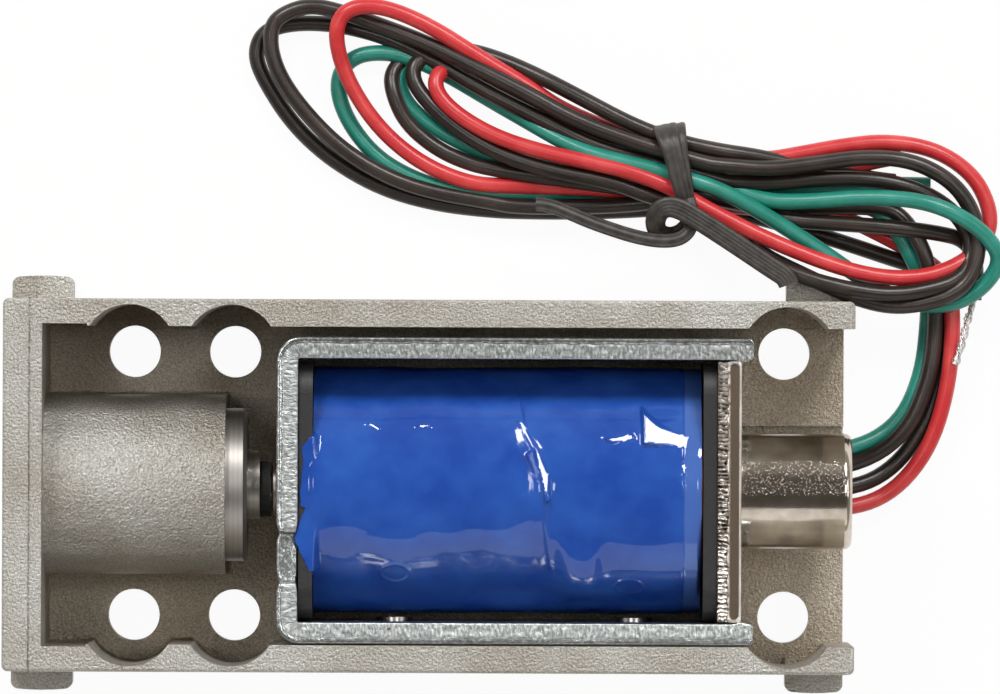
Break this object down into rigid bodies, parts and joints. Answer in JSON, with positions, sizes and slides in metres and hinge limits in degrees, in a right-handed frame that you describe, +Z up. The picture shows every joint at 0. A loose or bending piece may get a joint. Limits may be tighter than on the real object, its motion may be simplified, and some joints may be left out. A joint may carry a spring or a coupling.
{
  "type": "solenoid lock",
  "caption": "Solenoid bolt lock: die-cast tray with a round boss and sliding bolt, a frame solenoid that drives it, and lead wires folded into a tied hank.",
  "frame": {"origin": "middle of the tray's underside, on the bolt's centre line seen from above; the lead wires are not counted", "axes": "+X along the bolt towards the plunger, so the bolt leaves towards -X; +Y across the tray, towards the side the wires lie on; +Z up, out of the tray's open face"},
  "size_m": [0.081, 0.057, 0.024],
  "materials": {
    "zinc_casting": "tumbled zinc die casting",
    "zinc_plate": "bright zinc plate with sheared edges",
    "nickel_plate": "bright nickel plate",
    "plain_steel": "turned",
    "bolt_steel": "turned and plated",
    "screw_steel": "plated",
    "brass": "drawn",
    "copper": "enamelled wire",
    "nylon": "moulded",
    "blue_film": "glossy polyester film",
    "black_rubber": "matt",
    "green_pvc": "extruded",
    "black_pvc": "extruded",
    "red_pvc": "extruded",
    "tie_plastic": "ribbed",
    "tinned_copper": "tinned strands"
  },
  "bodies": {
    "lock_body": {"tray": "zinc_casting", "frame": "zinc_plate", "end_plate": "nickel_plate", "pole_piece": "plain_steel", "guide_tube": "brass", "bobbin": "nylon", "inner_winding": "copper", "outer_winding": "copper", "coil_tape": "blue_film", "return_spring": "plain_steel", "frame_screw_1": "screw_steel", "frame_screw_2": "screw_steel", "lead_green": "green_pvc", "lead_black_1": "black_pvc", "lead_black_2": "black_pvc", "lead_red": "red_pvc", "wire_hank": "black_pvc", "twist_tie": "tie_plastic", "bare_strand": "tinned_copper"},
    "bolt_train": {"bolt": "bolt_steel", "push_rod": "plain_steel", "plunger": "nickel_plate", "bump_washer": "black_rubber"}
  },
  "joints": [
    {"name": "bolt_slide", "type": "slide", "parent": "lock_body", "child": "bolt_train", "axis": [-1, 0, 0], "range_m": [0, 0.008], "stiffness_N_per_m": 150, "springref_m": -0.01, "deforming": ["return_spring"]}
  ]
}
